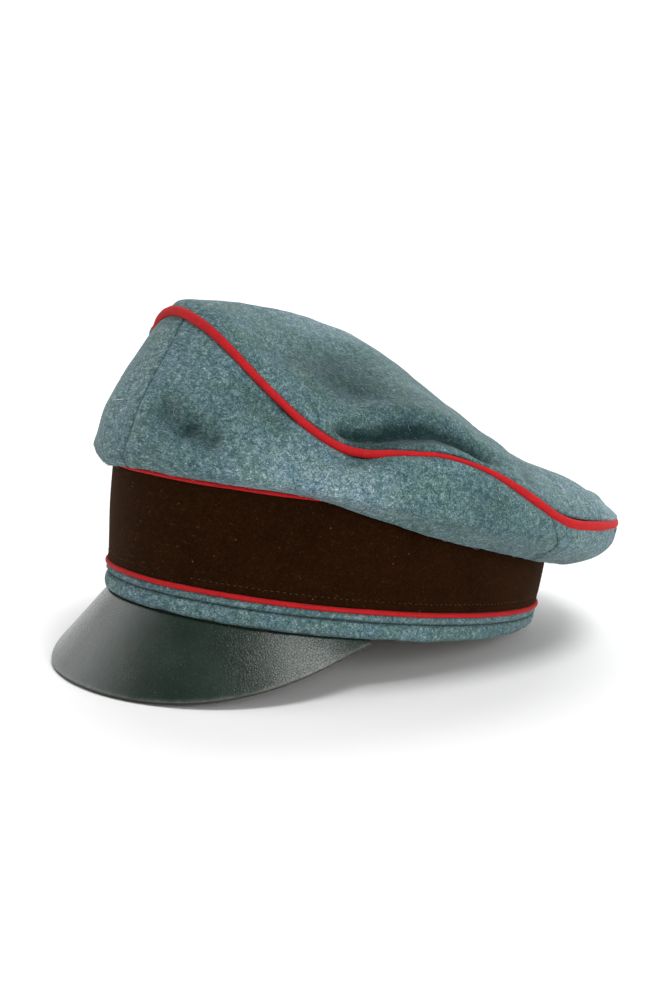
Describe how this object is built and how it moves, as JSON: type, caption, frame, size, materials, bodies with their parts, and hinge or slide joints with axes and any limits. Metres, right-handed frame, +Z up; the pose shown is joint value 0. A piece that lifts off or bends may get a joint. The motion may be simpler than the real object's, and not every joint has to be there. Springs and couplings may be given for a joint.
{
  "type": "military peaked cap",
  "caption": "Peaked cap with a soft wool crown that droops at the back, a piped dark band, a stitched welt and a leather-faced visor.",
  "frame": {"origin": "centre of the cap's own box, on the table that it rests on", "axes": "+Z up, the front and visor point along -Y, the wearer's left is +X; the cap lies on a table, tilted back on its visor and the back of its welt"},
  "size_m": [0.2282, 0.2756, 0.1603],
  "materials": {
    "crown_wool": "milled grey-green wool, mottled and slightly fuzzy",
    "band_wool": "very dark brown felted wool, matte",
    "piping": "bright red wool piping, matte",
    "canvas": "stiff undyed canvas",
    "lining": "brown cotton sateen with a soft sheen",
    "band_thread": "brown thread",
    "welt_thread": "dark grey-green thread",
    "sweatband_leather": "smooth tan leather, worn",
    "reed_binding": "dark brown binding",
    "sweatband_thread": "natural waxed thread",
    "visor_leather": "dark grey-green leather, satin, fine grain",
    "visor_board": "black-edged fibre board",
    "visor_lining": "dull dark leather"
  },
  "bodies": {
    "root": {"crown_top": "crown_wool", "crown_side_left": "crown_wool", "crown_side_right": "crown_wool", "crown_side_back": "crown_wool", "crown_piping": "piping", "front_stay": "canvas", "lining_top": "lining", "lining_wall": "lining", "band_cover": "band_wool", "band_stiffener": "canvas", "upper_band_piping": "piping", "lower_band_piping": "piping", "band_stitching": "band_thread", "lower_welt": "crown_wool", "welt_stitching": "welt_thread", "sweatband": "sweatband_leather", "sweatband_reed": "reed_binding", "sweatband_stitching": "sweatband_thread", "sweatband_tape": "reed_binding", "visor_top": "visor_leather", "visor_core": "visor_board", "visor_underside": "visor_lining"}
  },
  "joints": []
}
